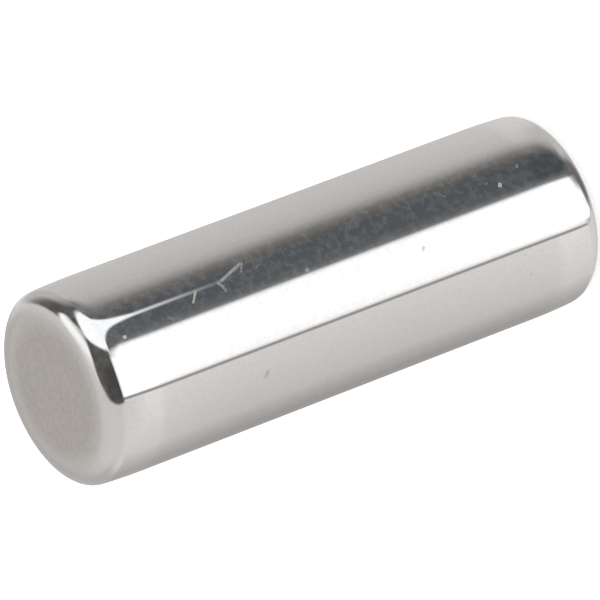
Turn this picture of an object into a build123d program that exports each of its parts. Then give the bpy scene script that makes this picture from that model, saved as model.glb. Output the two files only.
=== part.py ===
"""Needle roller: a loose cylindrical rolling element with flat ends and rounded, relieved edges.

The roller stands on one of its two equal flat ends. Its axis is Z, and the origin is at the
centre of the end that it stands on. All sizes are in millimetres.
"""
import os

from build123d import *

# The ground cylinder
DIAMETER = 6.0         # ground diameter, the running size
LENGTH = 17.8          # overall length, from end face to end face

# The rounded edge between each flat end and the ground surface
CORNER_WIDTH = 0.78    # how much of the radius the rounding takes from the flat end
CORNER_HEIGHT = 0.45   # how far the rounding reaches along the roller
CORNER_FULLNESS = 0.6  # 0 is a straight chamfer, 0.55 a quarter of an ellipse, more is squarer

# The end relief, where the ground surface falls away a little before the rounded edge
RELIEF_LENGTH = 1.35   # along the roller
RELIEF_DROP = 0.045    # at the rounded edge, on the radius

radius = DIAMETER / 2
half_length = LENGTH / 2
face_radius = radius - CORNER_WIDTH
corner_start = half_length - CORNER_HEIGHT
ground_half_length = corner_start - RELIEF_LENGTH
corner_depth = CORNER_WIDTH - RELIEF_DROP    # what the rounding takes beyond the relief

# Half of the section is drawn on a plane through the axis, with its origin at mid-length: the
# plane's X is the radius and its Y runs along the roller.
section_plane = Plane(origin=(0, 0, half_length), x_dir=(1, 0, 0), z_dir=(0, -1, 0))

with BuildPart() as needle_roller:
    with BuildSketch(section_plane):
        with BuildLine():
            # One end, from the axis outwards: flat face, rounded edge, end relief
            face = Line((0, half_length), (face_radius, half_length))
            relief = TangentArc(
                (radius, ground_half_length),
                (radius - RELIEF_DROP, corner_start),
                tangent=(0, 1),
            )
            relief_end = relief @ 1
            Bezier(
                relief_end,
                relief_end + (relief % 1) * (CORNER_FULLNESS * CORNER_HEIGHT),
                (face_radius + CORNER_FULLNESS * corner_depth, half_length),
                face @ 1,
            )
            # The other end is the same
            mirror(about=Plane.XZ)
            # The ground surface between the two reliefs, and the axis
            Line((radius, -ground_half_length), (radius, ground_half_length))
            Line((0, -half_length), (0, half_length))
        make_face()
    revolve(axis=Axis.Z)

needle_roller.part.label = "needle_roller"

os.makedirs("parts", exist_ok=True)
export_step(needle_roller.part, "parts/needle_roller.step")
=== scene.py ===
"""A loose needle roller of hardened steel, standing on one of its flat ends.

The roller is one piece: a ground and polished cylinder with rounded, slightly relieved edges and matte
flat ends. It stands on a pale floor in a small photographic studio, whose panels show in the steel.
"""

import logging
import math
from dataclasses import dataclass, field
from enum import Enum
from typing import Any, Union

import bpy
from mathutils import Matrix, Vector


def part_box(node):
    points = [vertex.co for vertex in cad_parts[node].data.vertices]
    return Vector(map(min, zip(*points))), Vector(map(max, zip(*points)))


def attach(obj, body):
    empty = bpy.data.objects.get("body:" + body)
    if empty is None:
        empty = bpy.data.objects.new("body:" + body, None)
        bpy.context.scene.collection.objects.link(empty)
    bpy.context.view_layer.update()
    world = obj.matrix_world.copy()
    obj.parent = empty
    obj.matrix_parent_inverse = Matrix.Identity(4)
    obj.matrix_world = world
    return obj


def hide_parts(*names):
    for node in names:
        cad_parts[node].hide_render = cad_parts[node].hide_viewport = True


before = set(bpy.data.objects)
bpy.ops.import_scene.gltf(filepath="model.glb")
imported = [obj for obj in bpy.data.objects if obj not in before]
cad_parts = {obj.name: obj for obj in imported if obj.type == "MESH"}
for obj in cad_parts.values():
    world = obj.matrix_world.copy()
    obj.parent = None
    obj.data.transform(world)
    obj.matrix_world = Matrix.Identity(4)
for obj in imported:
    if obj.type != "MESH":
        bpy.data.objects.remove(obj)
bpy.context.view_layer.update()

LOG = logging.getLogger("needle_roller")
MILLIMETRE = 0.001

Number = Union["Value", float]
Colour = tuple[float, float, float]

WHITE: Colour = (1.0, 1.0, 1.0)
STEEL_REFLECTANCE: Colour = (0.60, 0.59, 0.57)


def linear(level: float) -> float:
    """The linear value of a display level from 0 to 1."""
    if level <= 0.04045:
        return level / 12.92
    return ((level + 0.055) / 1.055) ** 2.4


class Value:
    """A number in a node tree. Arithmetic on it adds Math nodes."""

    def __init__(self, tree: "Tree", socket: bpy.types.NodeSocket) -> None:
        """Wraps an output socket.

        Args:
            tree: The tree that the socket is in.
            socket: The output socket that carries the number.
        """
        self.tree = tree
        self.socket = socket

    def math(self, operation: str, *others: Number) -> "Value":
        """This number combined with others by one Math node.

        Args:
            operation: The Math node's operation.
            others: The operation's other operands.

        Returns:
            The result.
        """
        return self.tree.math(operation, self, *others)

    def __add__(self, other: Number) -> "Value":
        """self + other."""
        return self.math("ADD", other)

    def __radd__(self, other: Number) -> "Value":
        """other + self."""
        return self.math("ADD", other)

    def __sub__(self, other: Number) -> "Value":
        """self - other."""
        return self.math("SUBTRACT", other)

    def __rsub__(self, other: Number) -> "Value":
        """other - self."""
        return self.tree.math("SUBTRACT", other, self)

    def __mul__(self, other: Number) -> "Value":
        """self * other."""
        return self.math("MULTIPLY", other)

    def __rmul__(self, other: Number) -> "Value":
        """other * self."""
        return self.math("MULTIPLY", other)

    def __truediv__(self, other: Number) -> "Value":
        """self / other."""
        return self.math("DIVIDE", other)

    def __rtruediv__(self, other: Number) -> "Value":
        """other / self."""
        return self.tree.math("DIVIDE", other, self)

    def __pow__(self, other: Number) -> "Value":
        """self ** other."""
        return self.math("POWER", other)

    def __abs__(self) -> "Value":
        """The size of this number without its sign."""
        return self.math("ABSOLUTE")

    def rise(self, low: Number, high: Number) -> "Value":
        """A soft step.

        Args:
            low: Where the step starts.
            high: Where the step ends. It may be below low, and then the step falls.

        Returns:
            0 before low and 1 past high, with a smooth rise between.
        """
        node = self.tree.node(
            "ShaderNodeMapRange",
            {"interpolation_type": "SMOOTHSTEP"},
            {"Value": self, "From Min": low, "From Max": high},
        )
        return self.tree.read(node, "Result")


class Tree:
    """Adds nodes to one node tree."""

    def __init__(self, tree: bpy.types.NodeTree) -> None:
        """Wraps an empty or started node tree.

        Args:
            tree: The tree that gets the nodes.
        """
        self.tree = tree

    def node(
        self,
        kind: str,
        settings: dict[str, Any] | None = None,
        inputs: dict[str, Any] | None = None,
    ) -> bpy.types.Node:
        """Adds a node.

        Args:
            kind: The node's type.
            settings: The node's properties by name, set before its sockets. "stops" sets a colour ramp.
            inputs: Numbers, colours, Values or sockets by the identifier of the socket they go to.

        Returns:
            The new node.
        """
        node = self.tree.nodes.new(kind)
        for name, setting in (settings or {}).items():
            if name == "stops":
                self._set_stops(node.color_ramp, setting)
            else:
                setattr(node, name, setting)
        for identifier, value in (inputs or {}).items():
            self.feed(self.socket(node.inputs, identifier), value)
        return node

    @staticmethod
    def _set_stops(ramp: bpy.types.ColorRamp, stops: list[tuple[float, Colour]]) -> None:
        """Gives a colour ramp its stops.

        Args:
            ramp: The colour ramp.
            stops: Position and colour of each stop, in order.
        """
        while len(ramp.elements) < len(stops):
            ramp.elements.new(1.0)
        for element, (position, colour) in zip(ramp.elements, stops):
            element.position = position
            element.color = (*colour, 1.0)

    @staticmethod
    def socket(sockets: bpy.types.bpy_prop_collection, identifier: str) -> bpy.types.NodeSocket:
        """The socket of a node with that identifier."""
        return next(s for s in sockets if s.identifier == identifier)

    def feed(self, socket: bpy.types.NodeSocket, value: Any) -> None:
        """Links a socket, or sets it where the value is plain.

        Args:
            socket: The input socket.
            value: A Value, a socket, a number, a vector or a colour.
        """
        if isinstance(value, Value):
            value = value.socket
        if isinstance(value, bpy.types.NodeSocket):
            self.tree.links.new(value, socket)
        elif socket.type == "RGBA":
            socket.default_value = (*value, 1.0)
        else:
            socket.default_value = value

    def read(self, node: bpy.types.Node, identifier: str) -> Value:
        """A node's output as a Value."""
        return Value(self, self.socket(node.outputs, identifier))

    def math(self, operation: str, *operands: Number) -> Value:
        """Adds a Math node.

        Args:
            operation: The node's operation.
            operands: Its one to three operands.

        Returns:
            Its result.
        """
        names = ("Value", "Value_001", "Value_002")
        node = self.node("ShaderNodeMath", {"operation": operation}, dict(zip(names, operands)))
        return self.read(node, "Value")

    def vector(self, operation: str, first: Any, second: Any, output: str = "Vector") -> Value:
        """Adds a Vector Math node.

        Args:
            operation: The node's operation.
            first: Its first vector.
            second: Its second vector.
            output: The output to read.

        Returns:
            Its result.
        """
        inputs = {"Vector": first, "Vector_001": second}
        return self.read(self.node("ShaderNodeVectorMath", {"operation": operation}, inputs), output)

    def scaled(self, vector: Any, factor: Number) -> Value:
        """A vector or colour times a number."""
        inputs = {"Vector": vector, "Scale": factor}
        return self.read(self.node("ShaderNodeVectorMath", {"operation": "SCALE"}, inputs), "Vector")

    def mix(self, factor: Number, first: Any, second: Any) -> Value:
        """Adds a Mix node for colours.

        Args:
            factor: 0 gives the first colour, 1 the second.
            first: The first colour.
            second: The second colour.

        Returns:
            The mixed colour.
        """
        inputs = {"Factor_Float": factor, "A_Color": first, "B_Color": second}
        return self.read(self.node("ShaderNodeMix", {"data_type": "RGBA"}, inputs), "Result_Color")

    def product(self, factors: list[Value]) -> Value:
        """All the factors multiplied together."""
        result = factors[0]
        for factor in factors[1:]:
            result = result * factor
        return result


def shader_tree(owner: bpy.types.ID) -> Tree:
    """Gives a material or world an empty node tree.

    Args:
        owner: The material or world.

    Returns:
        Its tree.
    """
    owner.use_nodes = True
    owner.node_tree.nodes.clear()
    return Tree(owner.node_tree)


# --------------------------------------------------------------------------------------------------
# The studio
# --------------------------------------------------------------------------------------------------


@dataclass(frozen=True)
class Tone:
    """The look of a studio surface in the steel."""

    shade: float
    warmth: float = 0.012

    def light(self) -> Colour:
        """The light that the surface gives, so that the steel shows it at its shade."""
        seen = (self.shade + self.warmth, self.shade, self.shade - self.warmth)
        return tuple(linear(level) / part for level, part in zip(seen, STEEL_REFLECTANCE))


def towards(azimuth: float, elevation: float) -> Vector:
    """The direction at that azimuth from +X and elevation above the floor, both in degrees."""
    turn, lift = math.radians(azimuth), math.radians(elevation)
    return Vector((math.cos(turn) * math.cos(lift), math.sin(turn) * math.cos(lift), math.sin(lift)))


@dataclass(frozen=True)
class Sky:
    """What a node tree knows of the direction looked in."""

    tree: Tree
    direction: Value
    azimuth: Value
    elevation: Value

    @staticmethod
    def of(tree: Tree) -> "Sky":
        """The world's direction with its azimuth and elevation in degrees.

        Args:
            tree: The world's tree.

        Returns:
            The direction.
        """
        direction = tree.read(tree.node("ShaderNodeTexCoord"), "Generated")
        parts = tree.node("ShaderNodeSeparateXYZ", {}, {"Vector": direction})
        azimuth = tree.math("ARCTAN2", tree.read(parts, "Y"), tree.read(parts, "X")) * math.degrees(1)
        elevation = tree.math("ARCSINE", tree.read(parts, "Z")) * math.degrees(1)
        return Sky(tree, direction, azimuth, elevation)


@dataclass(frozen=True)
class Edge:
    """A soft edge of a studio panel: a plane that cuts the sphere of directions round the roller.

    A curved edge runs on round the sphere past its three points, so a panel that has one is also
    bounded by straight edges wherever that matters.
    """

    normal: Vector
    offset: float
    softness: float

    @staticmethod
    def after(azimuth: float, softness: float = 2.0) -> "Edge":
        """The upright edge whose panel is on the side of greater azimuth."""
        return Edge(towards(azimuth + 90, 0), 0.0, math.radians(softness))

    @staticmethod
    def before(azimuth: float, softness: float = 2.0) -> "Edge":
        """The upright edge whose panel is on the side of smaller azimuth."""
        return Edge(towards(azimuth - 90, 0), 0.0, math.radians(softness))

    @staticmethod
    def above(elevation: float, softness: float = 2.0) -> "Edge":
        """The level edge whose panel is above it."""
        lift = math.radians(elevation)
        return Edge(Vector((0, 0, 1)), math.sin(lift), math.radians(softness) * math.cos(lift))

    @staticmethod
    def below(elevation: float, softness: float = 2.0) -> "Edge":
        """The level edge whose panel is below it."""
        lift = math.radians(elevation)
        return Edge(Vector((0, 0, -1)), -math.sin(lift), math.radians(softness) * math.cos(lift))

    @staticmethod
    def curved(
        points: list[tuple[float, float]], inside: tuple[float, float], softness: float = 2.0
    ) -> "Edge":
        """A curved edge.

        Args:
            points: Azimuth and elevation of three points on the edge.
            inside: Azimuth and elevation of a point on the panel.
            softness: Width of the soft edge in degrees.

        Returns:
            The edge.
        """
        first, middle, last = (towards(*point) for point in points)
        normal = (middle - first).cross(last - first).normalized()
        offset = normal.dot(first)
        if normal.dot(towards(*inside)) < offset:
            normal, offset = -normal, -offset
        return Edge(normal, offset, math.radians(softness))

    def cover(self, sky: Sky) -> Value:
        """How far a direction is on the panel's side.

        Args:
            sky: The direction looked in.

        Returns:
            0 off the panel, 1 on it.
        """
        reach = sky.tree.vector("DOT_PRODUCT", sky.direction, tuple(self.normal), "Value")
        half = self.softness / 2
        return reach.rise(self.offset - half, self.offset + half)


@dataclass(frozen=True)
class Panel:
    """A board, cloth or opening of the studio that shows in the steel."""

    name: str
    tone: Tone
    edges: tuple[Edge, ...]

    def paint(self, sky: Sky, behind: Any) -> Value:
        """Puts the panel in front of what is behind it.

        Args:
            sky: The direction looked in.
            behind: The light of what is behind the panel.

        Returns:
            The light with the panel in place.
        """
        cover = sky.tree.product([edge.cover(sky) for edge in self.edges])
        return sky.tree.mix(cover, behind, self.tone.light())


@dataclass(frozen=True)
class Flare:
    """A narrow window that widens like a trumpet towards its top. Angles are in degrees.

    From the foot up it widens steadily, and by a high power of the height on top of that.
    """

    tone: Tone
    azimuth: float
    half_width: float
    widening: float
    spread: float
    power: float
    foot: float
    fade: float
    softness: float

    def paint(self, sky: Sky, behind: Any) -> Value:
        """Puts the flare in front of what is behind it.

        Args:
            sky: The direction looked in.
            behind: The light of what is behind the flare.

        Returns:
            The light with the flare in place.
        """
        rise = (sky.elevation - self.foot).math("MAXIMUM", 0.0)
        width = rise**self.power * self.spread + rise * self.widening + self.half_width
        aside = abs(sky.azimuth - self.azimuth) - width
        above_foot = sky.elevation.rise(self.foot - self.fade, self.foot)
        cover = aside.rise(self.softness, -self.softness) * above_foot
        return sky.tree.mix(cover, behind, self.tone.light())


@dataclass(frozen=True)
class Seam:
    """A thin slanting line between two panels. Angles are in degrees.

    The azimuth is the line's at the middle elevation, and the softness is a share of the half width.
    """

    tone: Tone
    azimuth: float
    middle: float
    lean: float
    half_width: float
    softness: float = 0.5

    def paint(self, sky: Sky, behind: Any) -> Value:
        """Puts the seam in front of what is behind it.

        Args:
            sky: The direction looked in.
            behind: The light of what is behind the seam.

        Returns:
            The light with the seam in place.
        """
        aside = abs(sky.azimuth - self.azimuth - (sky.elevation - self.middle) * self.lean)
        outer = self.half_width * (1 + self.softness)
        inner = self.half_width * (1 - self.softness)
        return sky.tree.mix(aside.rise(outer, inner), behind, self.tone.light())


# The ground cylinder shows only a ring of directions a little below the horizon. The rounded edges show
# what is above and below that ring, so the studio is laid out in three storeys. In each of them, a part
# that comes later stands in front of the earlier ones.
RING_TOP = Edge.below(-21.4, 1.2)
RING_BOTTOM = Edge.below(-39.4, 1.6)
DARK_SIDE_EDGE = Edge.curved([(-126, 0), (-134, 50), (-154, 70)], (-97, 30), 5)

UPPER_PANELS = (
    Panel("wall foot", Tone(0.790), (Edge.below(2, 36),)),
    Panel("shaded wall", Tone(0.650), (Edge.after(76, 14), Edge.before(146, 30), Edge.below(28, 24))),
    Panel("grey backdrop", Tone(0.680), (Edge.after(0, 30), Edge.before(64, 8), Edge.below(30, 10))),
    Panel(
        "right post",
        Tone(0.325, 0.008),
        (
            Edge.after(-15, 3),
            Edge.before(40, 14),
            Edge.curved([(5, -15), (9, 10), (20, 24)], (-8, 5), 20),
            Edge.below(35, 20),
        ),
    ),
    Panel(
        "arch",
        Tone(0.305, 0.010),
        (Edge.after(-15, 3), Edge.before(62.5, 8), Edge.above(22, 28), Edge.below(57.5, 10)),
    ),
    Panel("window haze", Tone(0.690), (Edge.after(-16, 24), Edge.before(60, 20), Edge.above(57, 12))),
    Panel(
        "top window",
        Tone(0.970, 0.0),
        (Edge.after(24, 24), Edge.before(80, 18), Edge.above(47.5, 4)),
    ),
    Panel(
        "side window",
        Tone(1.0, 0.0),
        (Edge.after(-80, 5), Edge.before(-14.2, 12), Edge.below(57.5, 12)),
    ),
    Panel("wall gap", Tone(0.330, 0.006), (Edge.after(80, 8), Edge.before(99, 8), Edge.above(67, 5))),
    Panel(
        "ceiling",
        Tone(0.300, 0.008),
        (
            Edge.above(60.5, 4),
            Edge.curved([(-20, 62), (20, 74), (70, 72.8)], (-60, 80), 6),
            Edge.curved([(105, 72), (150, 77), (195, 73.5)], (-60, 80), 6),
        ),
    ),
    Panel(
        "camera side",
        Tone(0.312, 0.008),
        (
            DARK_SIDE_EDGE,
            Edge.curved([(-66.8, -20), (-57.5, 30), (-31.5, 58)], (-97, 30), 6),
            Edge.before(0, 12),
        ),
    ),
    Panel(
        "lens",
        Tone(0.262, 0.008),
        (
            DARK_SIDE_EDGE,
            Edge.before(-84, 8),
            Edge.after(-150, 10),
        ),
    ),
    Panel("wall shadow", Tone(0.600), (Edge.after(75, 8), Edge.before(99, 8), Edge.below(-5, 14))),
    Panel(
        "window foot",
        Tone(1.0, 0.0),
        (
            Edge.after(-121.5, 3),
            Edge.before(-75, 3),
            Edge.curved([(-120, -22), (-96, -18.5), (-76, -21.5)], (-96, -24), 6),
        ),
    ),
)

LOWER_PANELS = (
    Panel("left floor cloth", Tone(0.810, 0.008), (Edge.after(-210, 60), Edge.before(-127, 3))),
    Panel("near floor cloth", Tone(0.720), (Edge.after(-127, 3), Edge.before(-60, 60))),
    Panel("front floor", Tone(0.620), (Edge.below(-68, 24), Edge.before(97, 10))),
    Panel(
        "dark strip",
        Tone(0.400, 0.004),
        (
            Edge.curved([(-96, -52.5), (-150, -80), (120, -80)], (-70, -60), 11),
            Edge.curved([(36, -77), (-8, -73), (-38.5, -48)], (-70, -60), 14),
            Edge.curved([(30, -80.8), (90, -85.4), (150, -80.8)], (-90, -60), 34),
        ),
    ),
    Panel(
        "window head",
        Tone(1.0, 0.0),
        (
            Edge.after(-121.5, 3),
            Edge.before(-66, 3),
            Edge.above(-66, 4),
            Edge.curved([(-68, -39.0), (-90, -43.5), (-114, -60.7)], (-90, -30), 2),
        ),
    ),
)

RING_PARTS = (
    Panel(
        "near shade",
        Tone(0.797),
        (Edge.after(-166, 20), Edge.before(-126, 3), Edge.above(-25, 4)),
    ),
    Panel(
        "far shade",
        Tone(0.285, -0.012),
        (Edge.after(-60, 8), Edge.before(-26, 12), Edge.below(-32.5, 3)),
    ),
    Panel(
        "cloth edge",
        Tone(0.700),
        (
            Edge.after(-50, 6),
            Edge.before(20, 20),
            Edge.curved([(-40, -39.9), (-25, -38.4), (-5, -36.8)], (-15, -60), 2.4),
        ),
    ),
    Panel(
        "post foot",
        Tone(0.430, 0.008),
        (Edge.after(-20, 8), Edge.before(9, 16), Edge.above(-24.6, 1.6)),
    ),
    Panel(
        "window corner",
        Tone(0.360, 0.004),
        (
            Edge.after(-77, 3),
            Edge.before(-60, 6),
            Edge.above(-24, 1),
            Edge.curved([(-67.4, -23.6), (-69.6, -22.75), (-74, -21.9)], (-64, -21.8), 1.2),
        ),
    ),
    Panel(
        "window end",
        Tone(0.380, 0.004),
        (
            Edge.after(-82, 10),
            Edge.before(-58, 6),
            Edge.curved([(-62, -39.0), (-70, -39.4), (-80, -40.2)], (-70, -45), 0.8),
        ),
    ),
    Seam(Tone(0.560), azimuth=-125.6, middle=-30.0, lean=0.27, half_width=1.6),
    Flare(
        Tone(0.99, -0.006),
        azimuth=-38.5,
        half_width=1.5,
        widening=0.72,
        spread=0.00014,
        power=6.0,
        foot=-29.28,
        fade=1.1,
        softness=2.0,
    ),
)


@dataclass(frozen=True)
class Surroundings:
    """The studio round the roller, as the world's light by direction. Angles are in degrees.

    The ring grows lighter towards its top, behind the roller only, and towards its bottom. Each span
    is where that starts and where it is complete.
    """

    wall: Tone = Tone(0.762)
    floor_cloth: Tone = Tone(0.715)
    top_glow: float = 0.17
    top_span: tuple[float, float] = (-30.4, -28.4)
    behind_span: tuple[float, float] = (40.0, 120.0)
    bottom_glow: float = 0.18
    bottom_span: tuple[float, float] = (-31.2, -34.2)
    ring: tuple[tuple[float, Tone], ...] = (
        (-180, Tone(0.742)),
        (-150, Tone(0.778)),
        (-128, Tone(0.804)),
        (-124, Tone(0.845)),
        (-121, Tone(0.985, 0.0)),
        (-112, Tone(1.020, 0.0)),
        (-71, Tone(1.020, 0.0)),
        (-68, Tone(0.955, 0.0)),
        (-64.5, Tone(0.450, 0.0)),
        (-60, Tone(0.375, -0.004)),
        (-52, Tone(0.335, -0.014)),
        (-32, Tone(0.325, -0.010)),
        (-24, Tone(0.355, 0.006)),
        (-16, Tone(0.435, 0.010)),
        (-9, Tone(0.565, 0.010)),
        (-1, Tone(0.655)),
        (8, Tone(0.695)),
        (28, Tone(0.715)),
        (45, Tone(0.710)),
        (62, Tone(0.680)),
        (80, Tone(0.635)),
        (100, Tone(0.545)),
        (112, Tone(0.530)),
        (128, Tone(0.560)),
        (150, Tone(0.650)),
        (165, Tone(0.720)),
        (180, Tone(0.742)),
    )

    def build(self) -> None:
        """Makes the world and gives it to the scene."""
        world = bpy.data.worlds.new("studio")
        bpy.context.scene.world = world
        tree = shader_tree(world)
        light = self._light(Sky.of(tree))
        path = tree.node("ShaderNodeLightPath")
        seen = tree.read(path, "Is Camera Ray") + tree.read(path, "Is Transmission Ray")
        colour = tree.mix(seen, light, WHITE)
        background = tree.node("ShaderNodeBackground", {}, {"Color": colour, "Strength": 1.0})
        tree.node("ShaderNodeOutputWorld", {}, {"Surface": background.outputs[0]})
        LOG.info("studio: %d parts", len(UPPER_PANELS) + len(LOWER_PANELS) + len(RING_PARTS))

    def _light(self, sky: Sky) -> Value:
        """The light that comes from each direction.

        Args:
            sky: The direction looked in.

        Returns:
            The light.
        """
        upper = self.wall.light()
        for panel in UPPER_PANELS:
            upper = panel.paint(sky, upper)
        lower = self.floor_cloth.light()
        for panel in LOWER_PANELS:
            lower = panel.paint(sky, lower)
        light = sky.tree.mix(RING_TOP.cover(sky), upper, self._ring(sky))
        return sky.tree.mix(RING_BOTTOM.cover(sky), light, lower)

    def _ring(self, sky: Sky) -> Value:
        """The ring of the studio that the ground surface shows, by azimuth.

        Args:
            sky: The direction looked in.

        Returns:
            The light of the ring.
        """
        stops = [(angle / 360 + 0.5, tone.light()) for angle, tone in self.ring]
        ramp = sky.tree.node("ShaderNodeValToRGB", {"stops": stops}, {"Fac": sky.azimuth / 360 + 0.5})
        behind = abs(sky.azimuth).rise(*self.behind_span)
        top = sky.elevation.rise(*self.top_span) * behind * self.top_glow
        bottom = sky.elevation.rise(*self.bottom_span) * self.bottom_glow
        ring = sky.tree.scaled(sky.tree.read(ramp, "Color"), top + bottom + 1.0)
        for part in RING_PARTS:
            ring = part.paint(sky, ring)
        return ring


@dataclass(frozen=True)
class Floor:
    """The pale floor that the roller stands on. Sizes are in metres.

    The steel shows the lower studio instead of the floor, so the floor is hidden from glossy rays.
    """

    radius: float = 0.9
    segments: int = 96
    colour: Colour = (0.80, 0.80, 0.80)
    glow: float = 0.62
    roughness: float = 0.9

    def build(self) -> bpy.types.Object:
        """Makes the floor.

        Returns:
            The floor's object.
        """
        angles = [math.tau * i / self.segments for i in range(self.segments)]
        corners = [(self.radius * math.cos(turn), self.radius * math.sin(turn), 0.0) for turn in angles]
        mesh = bpy.data.meshes.new("floor")
        mesh.from_pydata(corners, [], [tuple(range(self.segments))])
        floor = bpy.data.objects.new("floor", mesh)
        bpy.context.scene.collection.objects.link(floor)
        mesh.materials.append(self._paper())
        floor.visible_glossy = False
        LOG.info("floor: radius %.2f m", self.radius)
        return floor

    def _paper(self) -> bpy.types.Material:
        """The floor's material: pale paper that the camera sees white and that keeps the shadow."""
        material = bpy.data.materials.new("floor_paper")
        tree = shader_tree(material)
        path = tree.node("ShaderNodeLightPath")
        rays = ("Is Camera Ray", "Is Glossy Ray", "Is Transmission Ray")
        camera, glossy, transmission = (tree.read(path, ray) for ray in rays)
        strength = (camera + glossy + transmission) * self.glow
        paper = {"Color": self.colour, "Roughness": self.roughness}
        diffuse = tree.node("ShaderNodeBsdfDiffuse", {}, paper)
        glow = tree.node("ShaderNodeEmission", {}, {"Color": WHITE, "Strength": strength})
        shaders = {"Shader": diffuse.outputs[0], "Shader_001": glow.outputs[0]}
        both = tree.node("ShaderNodeAddShader", {}, shaders)
        tree.node("ShaderNodeOutputMaterial", {}, {"Surface": both.outputs[0]})
        return material


@dataclass(frozen=True)
class SoftLamp:
    """A wide soft lamp straight above the roller. Sizes are in metres, the power in watts."""

    height: float = 0.5
    size: float = 0.6
    power: float = 1.0

    def build(self) -> bpy.types.Object:
        """Makes the lamp.

        Returns:
            The lamp's object.
        """
        light = bpy.data.lights.new("soft_lamp", "AREA")
        light.shape = "DISK"
        light.size = self.size
        light.energy = self.power
        lamp = bpy.data.objects.new("soft_lamp", light)
        bpy.context.scene.collection.objects.link(lamp)
        lamp.location = (0.0, 0.0, self.height)
        lamp.visible_glossy = False
        LOG.info("soft lamp: %.2f W", self.power)
        return lamp


@dataclass(frozen=True)
class StudioCamera:
    """The long lens that looks down at the roller from the front, rolled so that it lies aslant.

    Angles are in degrees, distances in metres and the focal length in millimetres. The clip shares are
    the nearest and farthest distances seen, as shares of the distance to the roller.
    """

    elevation: float = 30.73
    roll: float = -110.75
    distance: float = 0.2362
    lens: float = 484.3
    shift_right: float = 0.1185 * MILLIMETRE
    shift_up: float = 0.059 * MILLIMETRE
    clip_shares: tuple[float, float] = (0.01, 10.0)

    def build(self, centre: Vector) -> bpy.types.Object:
        """Makes the camera.

        Args:
            centre: The middle of the roller.

        Returns:
            The camera's object.
        """
        back = towards(-90, self.elevation)
        level_right = Vector((1, 0, 0))
        level_up = back.cross(level_right)
        turn = math.radians(self.roll)
        right = level_right * math.cos(turn) + level_up * math.sin(turn)
        up = back.cross(right)
        data = bpy.data.cameras.new("studio_camera")
        data.lens = self.lens
        data.clip_start, data.clip_end = (share * self.distance for share in self.clip_shares)
        camera = bpy.data.objects.new("studio_camera", data)
        bpy.context.scene.collection.objects.link(camera)
        place = centre + back * self.distance - right * self.shift_right - up * self.shift_up
        turned = Matrix((right, up, back)).transposed().to_4x4()
        camera.matrix_world = Matrix.Translation(place) @ turned
        bpy.context.scene.camera = camera
        LOG.info("camera: %.0f mm lens at %.0f mm", self.lens, self.distance / MILLIMETRE)
        return camera


# --------------------------------------------------------------------------------------------------
# The roller
# --------------------------------------------------------------------------------------------------


class MarkKind(Enum):
    """What a handling mark does to the steel."""

    SCRATCH = "bright scratch"
    GRAZE = "faint pale graze"
    FIBRE = "dried fibre"
    SPECK = "dark speck"


# Where a mark starts and where it is complete, as shares of its length and of its half width.
MARK_ENDS = (0.6, 0.4)
MARK_SIDES = (1.4, 0.5)


@dataclass(frozen=True)
class Mark:
    """A handling mark on the ground surface. Sizes are in millimetres, angles in degrees.

    The angle is round the roller's axis, and the height is above the lower end. A mark without lean
    runs along the roller. A taper of -1 or 1 brings one end or the other to a point.
    """

    kind: MarkKind
    angle: float
    height: float
    length: float
    width: float
    lean: float
    strength: float
    taper: float = 0.0

    def cover(self, around: Value, height: Value, radius: float) -> Value:
        """How far a place on the roller is inside the mark.

        Args:
            around: The place's angle round the axis in radians.
            height: Its height above the lower end in millimetres.
            radius: The roller's radius in millimetres.

        Returns:
            0 off the mark, its strength in the middle of it.
        """
        across = (around - math.radians(self.angle)) * radius
        along = height - self.height
        sine, cosine = math.sin(math.radians(self.lean)), math.cos(math.radians(self.lean))
        way = along * cosine + across * sine
        aside = abs(across * cosine - along * sine)
        half_width = (way * (2 * self.taper / self.length) + 1.0) * (self.width / 2)
        lengthwise = abs(way).rise(*(self.length * share for share in MARK_ENDS))
        crosswise = (aside / half_width).rise(*MARK_SIDES)
        return lengthwise * crosswise * self.strength


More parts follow.
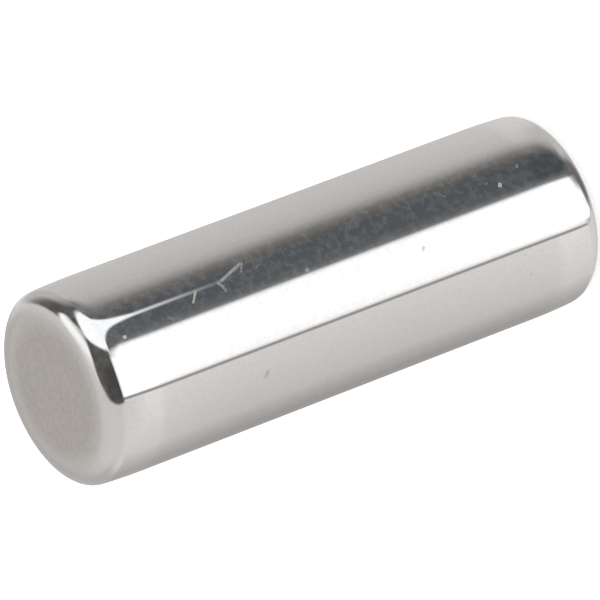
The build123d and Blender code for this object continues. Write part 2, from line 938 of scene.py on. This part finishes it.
# The forked scratch and the pale fibres come first, then the other grazes and specks.
MARKS = (
    Mark(MarkKind.GRAZE, -60.2, 12.30, 0.70, 0.22, -18, 0.28, -0.9),
    Mark(MarkKind.SCRATCH, -60.9, 12.42, 1.00, 0.100, -19, 0.38),
    Mark(MarkKind.SCRATCH, -61.0, 12.06, 0.34, 0.060, -52, 0.24),
    Mark(MarkKind.GRAZE, -66.2, 12.99, 0.20, 0.10, 62, 0.55),
    Mark(MarkKind.GRAZE, -69.4, 12.95, 0.22, 0.10, 88, 0.55),
    Mark(MarkKind.SPECK, -72.8, 12.58, 0.16, 0.10, 0, 0.4),
    Mark(MarkKind.FIBRE, -67.9, 13.97, 0.45, 0.075, -48.5, 0.75),
    Mark(MarkKind.FIBRE, -74.3, 15.00, 0.24, 0.14, 40, 0.35),
    Mark(MarkKind.GRAZE, -62.5, 11.52, 0.24, 0.12, -20, 0.12),
    Mark(MarkKind.GRAZE, -61.5, 4.92, 0.46, 0.08, 45, 0.3),
    Mark(MarkKind.SCRATCH, -69.3, 2.95, 0.16, 0.12, -50, 0.9),
    Mark(MarkKind.GRAZE, -65.7, 3.34, 0.12, 0.12, 0, 0.35),
    Mark(MarkKind.GRAZE, -61.9, 2.06, 0.16, 0.08, -50, 0.55),
    Mark(MarkKind.SCRATCH, -75.1, 16.63, 0.12, 0.11, 0, 0.7),
    Mark(MarkKind.GRAZE, -76.0, 10.20, 0.14, 0.12, 0, 0.5),
    Mark(MarkKind.SPECK, -87.8, 6.31, 0.16, 0.10, -50, 0.5),
    Mark(MarkKind.SPECK, -123.9, 12.45, 0.26, 0.13, -62, 0.5),
    Mark(MarkKind.SPECK, -111.9, 2.98, 0.10, 0.08, 0, 0.25),
    Mark(MarkKind.SPECK, -124.6, 2.82, 0.10, 0.08, 0, 0.25),
)


@dataclass(frozen=True)
class Blotches:
    """Soft random blotches in the steel's surface.

    The scale is in blotches per millimetre, and the detail is how many finer layers they have. They
    start where the noise passes low, and are complete where it passes high.
    """

    scale: float
    detail: float
    low: float = 0.0
    high: float = 1.0

    def noise(self, tree: Tree, point: Value) -> Value:
        """Plain noise that averages a half.

        Args:
            tree: The material's tree.
            point: Place on the roller in millimetres.

        Returns:
            The noise.
        """
        inputs = {"Vector": point, "Scale": self.scale, "Detail": self.detail}
        return tree.read(tree.node("ShaderNodeTexNoise", {}, inputs), "Fac")

    def cover(self, tree: Tree, point: Value) -> Value:
        """1 on a blotch, 0 between them.

        Args:
            tree: The material's tree.
            point: Place on the roller in millimetres.

        Returns:
            The cover.
        """
        return self.noise(tree, point).rise(self.low, self.high)


@dataclass(frozen=True)
class BearingSteel:
    """Hardened bearing steel: polished where it rolls, matte on its end faces.

    Polished and matte are roughnesses. The stain is the share of light that a stained place keeps, and
    the face shade is the same for the dark grain of the end faces. The matte face starts at the face
    radius, give or take the face edge. Sizes are in millimetres.
    """

    reflectance: Colour = STEEL_REFLECTANCE
    face_reflectance: Colour = (0.51, 0.485, 0.455)
    film_reflectance: Colour = (0.76, 0.78, 0.80)
    polished: float = 0.03
    matte: float = 0.45
    matte_spread: float = 0.12
    face_radius: float = 2.24
    face_edge: float = 0.56
    face_shade: float = 0.88
    grain: Blotches = Blotches(6.0, 3.0, 0.3, 0.7)
    pits: Blotches = Blotches(9.0, 4.0)
    pit_strength: float = 0.5
    pit_depth: float = 0.01
    stain: float = 0.965
    stains: Blotches = Blotches(9.0, 2.0, 0.46, 0.66)
    haze: float = 0.115
    clouds: Blotches = Blotches(4.5, 2.0, 0.42, 0.62)
    cloud_share: float = 0.7
    dust: Blotches = Blotches(14.0, 1.0, 0.52, 0.68)
    dust_share: float = 0.5
    fibre_colour: Colour = (0.60, 0.60, 0.42)
    graze_colour: Colour = (0.40, 0.41, 0.43)
    speck_colour: Colour = (0.28, 0.25, 0.22)
    scratch_colour: Colour = (0.66, 0.65, 0.62)

    def build(self, radius: float) -> bpy.types.Material:
        """Makes the material.

        Args:
            radius: The roller's radius in millimetres.

        Returns:
            The material.
        """
        material = bpy.data.materials.new("ground_steel")
        tree = shader_tree(material)
        point = tree.scaled(tree.read(tree.node("ShaderNodeTexCoord"), "Object"), 1 / MILLIMETRE)
        parts = tree.node("ShaderNodeSeparateXYZ", {}, {"Vector": point})
        x, y, z = (tree.read(parts, axis) for axis in "XYZ")
        out = (x * x + y * y).math("SQRT")
        face = out.rise(self.face_radius + self.face_edge, self.face_radius - self.face_edge)
        colour, roughness = self._surface(tree, point, face)
        around = tree.math("ARCTAN2", y, x)
        for mark in MARKS:
            cover = mark.cover(around, z, radius)
            colour = tree.mix(cover, colour, self._mark_colour(mark.kind))
            roughness = roughness + (self.matte - roughness) * cover
        normal = self._bump(tree, point, face)
        steel = self._layer(tree, colour, roughness, normal)
        film = self._layer(tree, self.film_reflectance, self.matte, normal)
        clouds = self.clouds.cover(tree, point) * self.cloud_share
        dust = self.dust.cover(tree, point) * self.dust_share
        hazy = (clouds + dust) * self.haze * (1.0 - face)
        both = tree.node("ShaderNodeMixShader", {}, {"Fac": hazy, "Shader": steel, "Shader_001": film})
        tree.node("ShaderNodeOutputMaterial", {}, {"Surface": both.outputs[0]})
        return material

    def _surface(self, tree: Tree, point: Value, face: Value) -> tuple[Value, Value]:
        """Colour and roughness before any handling mark.

        Args:
            tree: The material's tree.
            point: Place on the roller in millimetres.
            face: 1 on the matte end faces, 0 elsewhere.

        Returns:
            The colour and the roughness.
        """
        grain = self.grain.noise(tree, point)
        light_grain = grain.rise(self.grain.low, self.grain.high)
        dull = tuple(level * self.face_shade for level in self.face_reflectance)
        face_colour = tree.mix(light_grain, dull, self.face_reflectance)
        stained = tuple(level * self.stain for level in self.reflectance)
        ground_colour = tree.mix(self.stains.cover(tree, point), self.reflectance, stained)
        colour = tree.mix(face, ground_colour, face_colour)
        matte = self.matte + (grain - 0.5) * self.matte_spread
        roughness = self.polished + (matte - self.polished) * face
        return colour, roughness

    def _mark_colour(self, kind: MarkKind) -> Colour:
        """The reflectance of a kind of handling mark."""
        colours = {
            MarkKind.SCRATCH: self.scratch_colour,
            MarkKind.GRAZE: self.graze_colour,
            MarkKind.FIBRE: self.fibre_colour,
            MarkKind.SPECK: self.speck_colour,
        }
        return colours[kind]

    def _bump(self, tree: Tree, point: Value, face: Value) -> Value:
        """The fine relief of the matte faces.

        Args:
            tree: The material's tree.
            point: Place on the roller in millimetres.
            face: 1 on the matte end faces, 0 elsewhere.

        Returns:
            The normal.
        """
        inputs = {
            "Strength": self.pit_strength,
            "Distance": self.pit_depth * MILLIMETRE,
            "Height": (self.pits.noise(tree, point) - 0.5) * face,
        }
        return tree.read(tree.node("ShaderNodeBump", {}, inputs), "Normal")

    @staticmethod
    def _layer(tree: Tree, colour: Any, roughness: Any, normal: Value) -> bpy.types.NodeSocket:
        """One metal layer of the finish.

        Args:
            tree: The material's tree.
            colour: Its reflectance.
            roughness: Its roughness.
            normal: Its normal.

        Returns:
            The layer's shader.
        """
        inputs = {"Base Color": colour, "Metallic": 1.0, "Roughness": roughness, "Normal": normal}
        return tree.node("ShaderNodeBsdfPrincipled", {}, inputs).outputs[0]


@dataclass(frozen=True)
class Rings:
    """How many rings of the mesh each part of the roller's section has."""

    ground: int = 14
    relief: int = 14
    corner: int = 48
    face: int = 9

    def total(self) -> int:
        """The rings from mid-length to the middle of one end face, where joined parts share none."""
        return self.ground + self.relief + self.corner + self.face


@dataclass
class NeedleRoller:
    """The roller. Sizes are in metres.

    The relief starts where the ground surface ends and drops a little by the foot of the rounded edge,
    which then takes the corner width off the radius. A fuller corner is squarer.
    """

    node: str = "needle_roller"
    body: str = "root"
    slot: str = "bearing_steel"
    corner_width: float = 0.78 * MILLIMETRE
    corner_height: float = 0.45 * MILLIMETRE
    corner_fullness: float = 0.6
    relief_length: float = 1.35 * MILLIMETRE
    relief_drop: float = 0.045 * MILLIMETRE
    segments: int = 384
    merge_distance: float = 0.0005 * MILLIMETRE
    rings: Rings = field(default_factory=Rings)
    finish: BearingSteel = field(default_factory=BearingSteel)

    def __post_init__(self) -> None:
        """Takes the diameter and the length from the frame."""
        low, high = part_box(self.node)
        self.radius = high.x
        self.length = high.z - low.z
        self.middle = Vector((0.0, 0.0, (low.z + high.z) / 2))

    def build(self) -> bpy.types.Object:
        """Returns:
            The roller's object.
        """
        material = self.finish.build(self.radius / MILLIMETRE)
        mesh = self._turned_mesh(material)
        roller = bpy.data.objects.new("finished_roller", mesh)
        bpy.context.scene.collection.objects.link(roller)
        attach(roller, self.body)
        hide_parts(self.node)
        LOG.info("roller: %d vertices, %d faces", len(mesh.vertices), len(mesh.polygons))
        return roller

    def _turned_mesh(self, material: bpy.types.Material) -> bpy.types.Mesh:
        """Runs the roller's node tree and keeps what it makes.

        Args:
            material: The roller's material.

        Returns:
            The roller's mesh.
        """
        group = self._turning_tree()
        blank = bpy.data.objects.new("blank", bpy.data.meshes.new("blank"))
        bpy.context.scene.collection.objects.link(blank)
        modifier = blank.modifiers.new("turning", "NODES")
        modifier.node_group = group
        values = {
            "Radius": self.radius,
            "Length": self.length,
            "Corner width": self.corner_width,
            "Corner height": self.corner_height,
            "Corner fullness": self.corner_fullness,
            "Relief length": self.relief_length,
            "Relief drop": self.relief_drop,
            "Segments": self.segments,
            "Material": material,
        }
        for item in group.interface.items_tree:
            if item.name in values:
                modifier[item.identifier] = values[item.name]
        evaluated = blank.evaluated_get(bpy.context.evaluated_depsgraph_get())
        mesh = bpy.data.meshes.new_from_object(evaluated)
        mesh.name = "finished_roller"
        mesh.materials.clear()
        mesh.materials.append(material)
        blank.modifiers.remove(modifier)
        bpy.data.objects.remove(blank)
        return mesh

    def _turning_tree(self) -> bpy.types.NodeTree:
        """The node tree that turns the roller's section round its axis.

        Returns:
            The node group.
        """
        group = bpy.data.node_groups.new("turned_roller", "GeometryNodeTree")
        group.interface.new_socket("Geometry", in_out="OUTPUT", socket_type="NodeSocketGeometry")
        kinds = {
            "Radius": "NodeSocketFloat",
            "Length": "NodeSocketFloat",
            "Corner width": "NodeSocketFloat",
            "Corner height": "NodeSocketFloat",
            "Corner fullness": "NodeSocketFloat",
            "Relief length": "NodeSocketFloat",
            "Relief drop": "NodeSocketFloat",
            "Segments": "NodeSocketInt",
            "Material": "NodeSocketMaterial",
        }
        for name, kind in kinds.items():
            group.interface.new_socket(name, in_out="INPUT", socket_type=kind)
        tree = Tree(group)
        given = tree.node("NodeGroupInput")
        sizes = {socket.name: Value(tree, socket) for socket in given.outputs if socket.name}
        section = self._section(tree, sizes)
        turned = self._turn(tree, section, sizes)
        inputs = {"Geometry": turned, "Distance": self.merge_distance}
        merged = tree.node("GeometryNodeMergeByDistance", {}, inputs)
        outward = tree.node("GeometryNodeFlipFaces", {}, {"Mesh": merged.outputs[0]})
        inputs = {"Geometry": outward.outputs[0], "Shade Smooth": True}
        smooth = tree.node("GeometryNodeSetShadeSmooth", {}, inputs)
        real = tree.node("GeometryNodeRealizeInstances", {}, {"Geometry": smooth.outputs[0]})
        inputs = {"Geometry": real.outputs[0], "Material": sizes["Material"]}
        dressed = tree.node("GeometryNodeSetMaterial", {}, inputs)
        tree.node("NodeGroupOutput", {}, {group.interface.items_tree[0].identifier: dressed.outputs[0]})
        return group

    def _section(self, tree: Tree, sizes: dict[str, Value]) -> bpy.types.NodeSocket:
        """Half of the section, from mid-length to the middle of the upper end face.

        Args:
            tree: The roller's tree.
            sizes: The tree's inputs by name.

        Returns:
            The section as four joined curves.
        """
        half = sizes["Length"] * 0.5
        radius = sizes["Radius"]
        relief_radius = radius - sizes["Relief drop"]
        corner_foot = half - sizes["Corner height"]
        relief_foot = corner_foot - sizes["Relief length"]
        face_radius = radius - sizes["Corner width"]
        slope = sizes["Relief drop"] / (sizes["Relief length"] * 0.5)
        reach = sizes["Corner height"] * sizes["Corner fullness"] / (slope * slope + 1.0).math("SQRT")
        full = (relief_radius - face_radius) * sizes["Corner fullness"]

        def at(out: Number, up: Number) -> Value:
            """The point of the section at that radius and height above mid-length."""
            return tree.read(tree.node("ShaderNodeCombineXYZ", {}, {"X": out, "Z": up}), "Vector")

        ground = self._line(tree, at(radius, 0.0), at(radius, relief_foot), self.rings.ground)
        relief = tree.node(
            "GeometryNodeCurveQuadraticBezier",
            {},
            {
                "Resolution": self.rings.relief - 1,
                "Start": at(radius, relief_foot),
                "Middle": at(radius, (relief_foot + corner_foot) * 0.5),
                "End": at(relief_radius, corner_foot),
            },
        )
        corner = tree.node(
            "GeometryNodeCurvePrimitiveBezierSegment",
            {},
            {
                "Resolution": self.rings.corner - 1,
                "Start": at(relief_radius, corner_foot),
                "Start Handle": at(relief_radius - reach * slope, corner_foot + reach),
                "End Handle": at(face_radius + full, half),
                "End": at(face_radius, half),
            },
        )
        inputs = {"Curve": corner.outputs[0]}
        corner = tree.node("GeometryNodeResampleCurve", {"mode": "EVALUATED"}, inputs)
        face = self._line(tree, at(face_radius, half), at(0.0, half), self.rings.face)
        joined = tree.node("GeometryNodeJoinGeometry")
        for part in reversed((ground, relief.outputs[0], corner.outputs[0], face)):
            tree.tree.links.new(part, joined.inputs[0])
        return joined.outputs[0]

    @staticmethod
    def _line(tree: Tree, start: Value, end: Value, count: int) -> bpy.types.NodeSocket:
        """A straight part of the section.

        Args:
            tree: The roller's tree.
            start: Where it starts.
            end: Where it ends.
            count: How many rings it has.

        Returns:
            The line.
        """
        line = tree.node("GeometryNodeCurvePrimitiveLine", {}, {"Start": start, "End": end})
        ringed = tree.node("GeometryNodeResampleCurve", {}, {"Curve": line.outputs[0], "Count": count})
        return ringed.outputs[0]

    def _turn(
        self, tree: Tree, section: bpy.types.NodeSocket, sizes: dict[str, Value]
    ) -> bpy.types.NodeSocket:
        """Wraps a grid round the axis, with the section and its mirror image along it.

        Args:
            tree: The roller's tree.
            section: Half of the section.
            sizes: The tree's inputs by name.

        Returns:
            The roller's surface, open where its ends meet.
        """
        rows = self.rings.total() * 2
        columns = sizes["Segments"] + 1.0
        grid = tree.node("GeometryNodeMeshGrid", {}, {"Vertices X": rows, "Vertices Y": columns})
        index = tree.read(tree.node("GeometryNodeInputIndex"), "Index")
        row = (index / columns + 0.5 / (self.segments + 1)).math("FLOOR")
        from_middle = row - (rows - 1) / 2
        ring = abs(from_middle) - 0.5
        position = tree.read(tree.node("GeometryNodeInputPosition"), "Position")
        sample = tree.node(
            "GeometryNodeSampleIndex",
            {"data_type": "FLOAT_VECTOR", "domain": "POINT"},
            {"Geometry": section, "Value": position, "Index": ring},
        )
        point = tree.node("ShaderNodeSeparateXYZ", {}, {"Vector": sample.outputs[0]})
        out, up = tree.read(point, "X"), tree.read(point, "Z")
        angle = (index - row * columns) * math.tau / sizes["Segments"]
        height = up * from_middle.math("SIGN") + sizes["Length"] * 0.5
        inputs = {"X": out * angle.math("COSINE"), "Y": out * angle.math("SINE"), "Z": height}
        place = tree.node("ShaderNodeCombineXYZ", {}, inputs)
        inputs = {"Geometry": grid.outputs[0], "Position": place.outputs[0]}
        return tree.node("GeometryNodeSetPosition", {}, inputs).outputs[0]


def main() -> None:
    """Builds the roller and the studio round it."""
    logging.basicConfig(level=logging.INFO, format="%(name)s: %(message)s")
    bpy.context.scene.view_settings.view_transform = "Standard"
    roller = NeedleRoller()
    roller.build()
    Surroundings().build()
    Floor().build()
    SoftLamp().build()
    StudioCamera().build(roller.middle)


if __name__ == "__main__":
    main()
